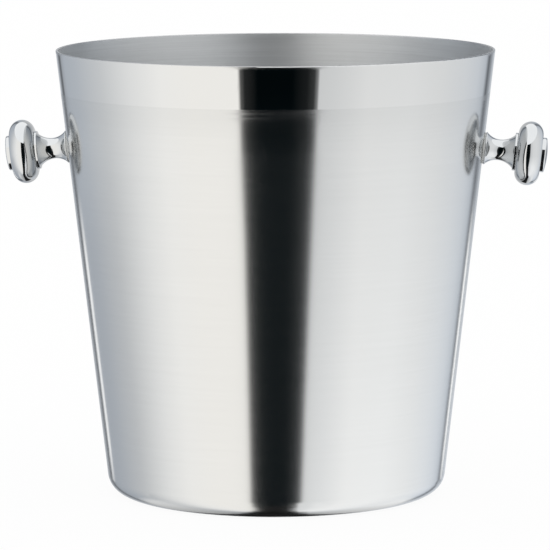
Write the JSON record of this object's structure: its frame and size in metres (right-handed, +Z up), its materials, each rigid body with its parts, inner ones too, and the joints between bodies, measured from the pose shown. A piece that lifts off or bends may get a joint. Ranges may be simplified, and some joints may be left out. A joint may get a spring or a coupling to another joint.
{
  "type": "champagne bucket",
  "caption": "Conical drawn steel wine and ice bucket with a polished band at the rim, a satin body, a raised base panel and round knob handles clamped through the wall.",
  "frame": {"origin": "centre of the flat ring that the bucket stands on, at table height", "axes": "+Z up along the bucket's axis, X through both knobs, Y across them"},
  "size_m": [0.248, 0.2, 0.2033],
  "materials": {
    "bucket_steel": "satin, brushed round the axis, with a mirror-polished band 19 mm deep under the rim",
    "knob_steel": "mirror-polished stainless steel",
    "gasket_silicone": "matt grey silicone",
    "screw_steel": "plain turned stainless steel"
  },
  "bodies": {
    "root": {"bucket_shell": "bucket_steel", "left_knob_neck": "knob_steel", "left_knob_grip": "knob_steel", "left_knob_button": "knob_steel", "left_knob_gasket": "gasket_silicone", "left_knob_seal": "gasket_silicone", "left_knob_washer": "screw_steel", "left_knob_screw": "screw_steel", "right_knob_neck": "knob_steel", "right_knob_grip": "knob_steel", "right_knob_button": "knob_steel", "right_knob_gasket": "gasket_silicone", "right_knob_seal": "gasket_silicone", "right_knob_washer": "screw_steel", "right_knob_screw": "screw_steel"}
  },
  "joints": []
}
